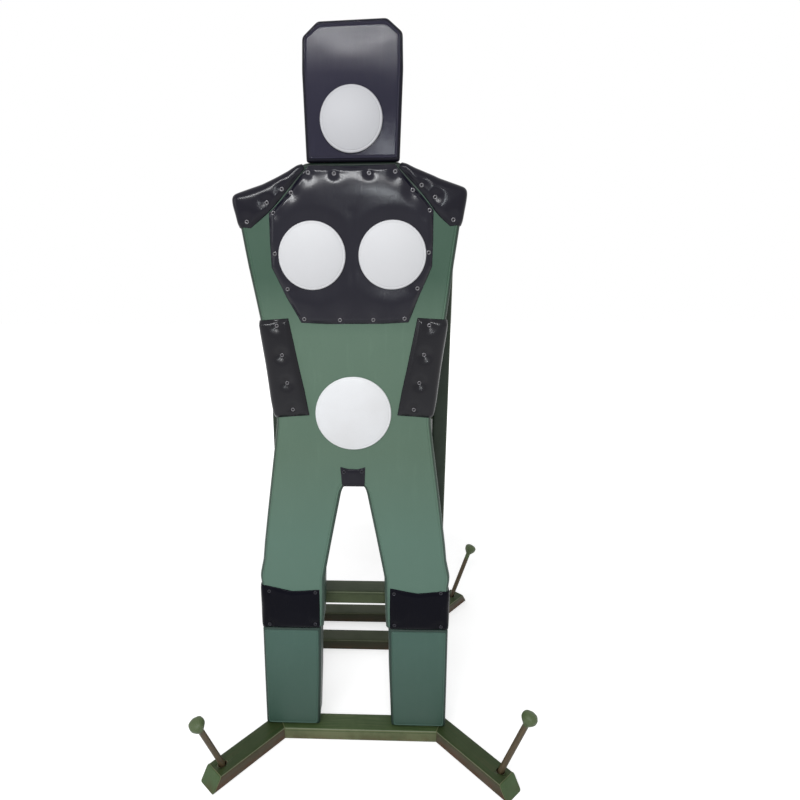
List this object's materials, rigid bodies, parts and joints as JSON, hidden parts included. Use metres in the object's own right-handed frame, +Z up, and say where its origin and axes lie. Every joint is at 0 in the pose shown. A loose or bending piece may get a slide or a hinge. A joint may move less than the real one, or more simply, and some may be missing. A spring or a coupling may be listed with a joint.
{
  "type": "padded strike training dummy",
  "caption": "Upright flat padded human figure with round targets, bolted to a braced steel tube stand whose splayed feet are pinned down by sliding ground spikes.",
  "frame": {"origin": "middle of the front crossbar's underside, on the ground", "axes": "+Z up, the figure faces -Y, +X to the viewer's right when looking at the figure's front"},
  "size_m": [0.8455, 0.8879, 1.75],
  "materials": {
    "frame_paint": "olive green brushed enamel with rust showing at edges and welds",
    "spike_steel": "worn green paint on forged steel rod, brown where it rubs",
    "zinc_hardware": "zinc plated bolts and nuts",
    "plywood": "bare plywood sheet",
    "foam": "closed cell foam slab",
    "green_cover": "grey green artificial leather with a soft sheen",
    "black_leather": "black leather with a glossy violet sheen",
    "white_target": "matt white artificial leather over a soft pad"
  },
  "bodies": {
    "stand_and_figure": {"backing_board": "plywood", "board_bolt_chest_left": "zinc_hardware", "board_bolt_chest_right": "zinc_hardware", "board_bolt_knee_left": "zinc_hardware", "board_bolt_knee_right": "zinc_hardware", "board_bolt_waist_left": "zinc_hardware", "board_bolt_waist_right": "zinc_hardware", "board_nut_chest_left": "zinc_hardware", "board_nut_chest_right": "zinc_hardware", "board_nut_knee_left": "zinc_hardware", "board_nut_knee_right": "zinc_hardware", "board_nut_waist_left": "zinc_hardware", "board_nut_waist_right": "zinc_hardware", "body_cover": "green_cover", "body_foam": "foam", "brace_left": "frame_paint", "brace_right": "frame_paint", "chest_crossbar": "frame_paint", "chest_panel": "black_leather", "crotch_patch": "black_leather", "flank_panel_left": "black_leather", "flank_panel_right": "black_leather", "front_crossbar": "frame_paint", "front_foot_end_plate_left": "frame_paint", "front_foot_end_plate_right": "frame_paint", "front_foot_left": "frame_paint", "front_foot_right": "frame_paint", "head_cover": "black_leather", "head_foam": "foam", "knee_band_left": "black_leather", "knee_band_right": "black_leather", "knee_crossbar": "frame_paint", "middle_crossbar": "frame_paint", "post_cap_left": "frame_paint", "post_cap_right": "frame_paint", "post_left": "frame_paint", "post_right": "frame_paint", "rear_crossbar": "frame_paint", "rear_foot_end_plate_left": "frame_paint", "rear_foot_end_plate_right": "frame_paint", "rear_foot_left": "frame_paint", "rear_foot_right": "frame_paint", "shin_left_cover": "green_cover", "shin_left_foam": "foam", "shin_right_cover": "green_cover", "shin_right_foam": "foam", "shoulder_cap_left": "black_leather", "shoulder_cap_right": "black_leather", "side_rail_left": "frame_paint", "side_rail_right": "frame_paint", "target_belly": "white_target", "target_chest_left": "white_target", "target_chest_right": "white_target", "target_head": "white_target", "waist_crossbar": "frame_paint"},
    "spike_front_left": {"ground_spike_front_left": "spike_steel"},
    "spike_front_right": {"ground_spike_front_right": "spike_steel"},
    "spike_rear_left": {"ground_spike_rear_left": "spike_steel"},
    "spike_rear_right": {"ground_spike_rear_right": "spike_steel"}
  },
  "joints": [
    {"name": "front_left_spike_slide", "type": "slide", "parent": "stand_and_figure", "child": "spike_front_left", "axis": [-0.2288, -0.2453, 0.9421], "range_m": [-0.15, 0.22]},
    {"name": "front_right_spike_slide", "type": "slide", "parent": "stand_and_figure", "child": "spike_front_right", "axis": [0.3453, 0, 0.9385], "range_m": [-0.15, 0.22]},
    {"name": "rear_left_spike_slide", "type": "slide", "parent": "stand_and_figure", "child": "spike_rear_left", "axis": [-0.1281, 0.352, 0.9272], "range_m": [-0.15, 0.22]},
    {"name": "rear_right_spike_slide", "type": "slide", "parent": "stand_and_figure", "child": "spike_rear_right", "axis": [0.3634, 0.2451, 0.8988], "range_m": [-0.15, 0.22]}
  ]
}
